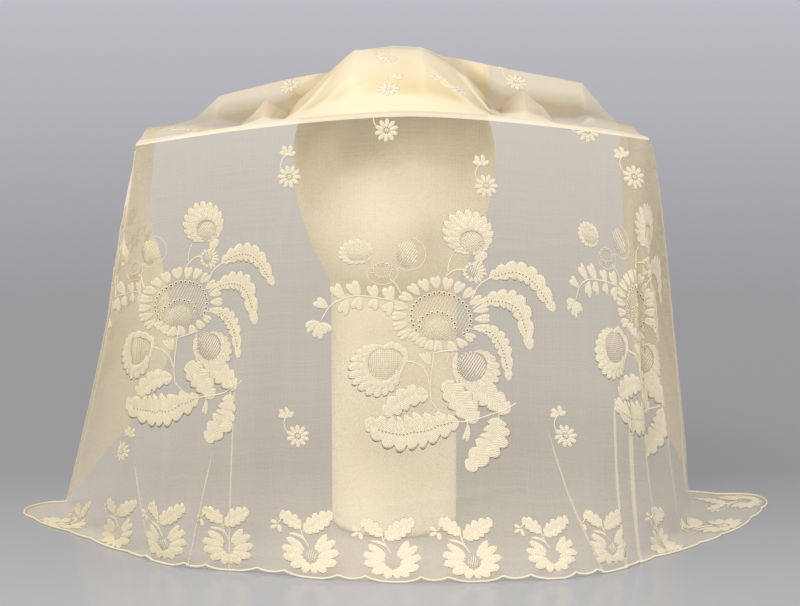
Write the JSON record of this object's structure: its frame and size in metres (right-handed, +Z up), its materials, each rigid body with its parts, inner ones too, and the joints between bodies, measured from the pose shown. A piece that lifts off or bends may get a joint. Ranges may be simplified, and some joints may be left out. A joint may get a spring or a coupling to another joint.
{
  "type": "wedding veil on head form",
  "caption": "Embroidered net wedding veil spread over a featureless head form, with a creased brow, tent folds at both sides and a scalloped hem that reaches the table.",
  "frame": {"origin": "centre of the head form's round base, on the surface it stands on", "axes": "+Z up, -Y towards the front of the veil, +X to the right as seen from the front"},
  "size_m": [0.6908, 0.3054, 0.4362],
  "materials": {
    "net": "see-through cream cotton net, matte",
    "edging": "cream embroidered edging, matte",
    "linen": "natural linen canvas, matte"
  },
  "bodies": {
    "root": {"head_block": "linen", "neck_pillar": "linen", "brow_band": "net", "wing_left": "net", "crown": "net", "wing_right": "net", "front_fall": "net", "hem_edging_left": "edging", "hem_edging_front": "edging", "hem_edging_right": "edging", "side_fall_left": "net", "side_fall_right": "net", "back_fall": "net"}
  },
  "joints": []
}
